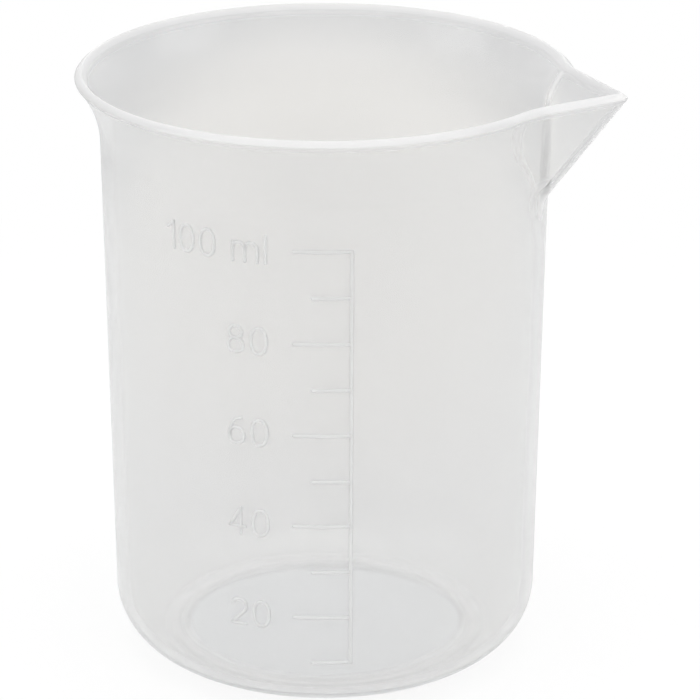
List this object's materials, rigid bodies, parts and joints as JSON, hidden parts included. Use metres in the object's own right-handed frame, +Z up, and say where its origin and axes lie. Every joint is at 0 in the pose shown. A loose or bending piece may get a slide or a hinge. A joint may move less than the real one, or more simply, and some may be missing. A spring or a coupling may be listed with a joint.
{
  "type": "resin mixing cup",
  "caption": "Translucent moulded mixing cup with rounded heel, flared rim, V-shaped pouring spout and a raised millilitre scale.",
  "frame": {"origin": "on the cup's axis, in the plane of the foot ring that it stands on", "axes": "+Z up out of the mouth, +X towards the pouring spout, +Y across it"},
  "size_m": [0.0638, 0.057, 0.07],
  "materials": {
    "cup_plastic": "natural translucent polypropylene, frosted like its mould",
    "scale_lines": "the same polypropylene in thin raised lines"
  },
  "bodies": {
    "root": {"floor_panel": "cup_plastic", "foot_ring": "cup_plastic", "rounded_heel": "cup_plastic", "side_wall": "cup_plastic", "flared_rim": "cup_plastic", "pouring_spout": "cup_plastic", "scale_spine": "scale_lines", "major_marks": "scale_lines", "minor_marks": "scale_lines"}
  },
  "joints": []
}
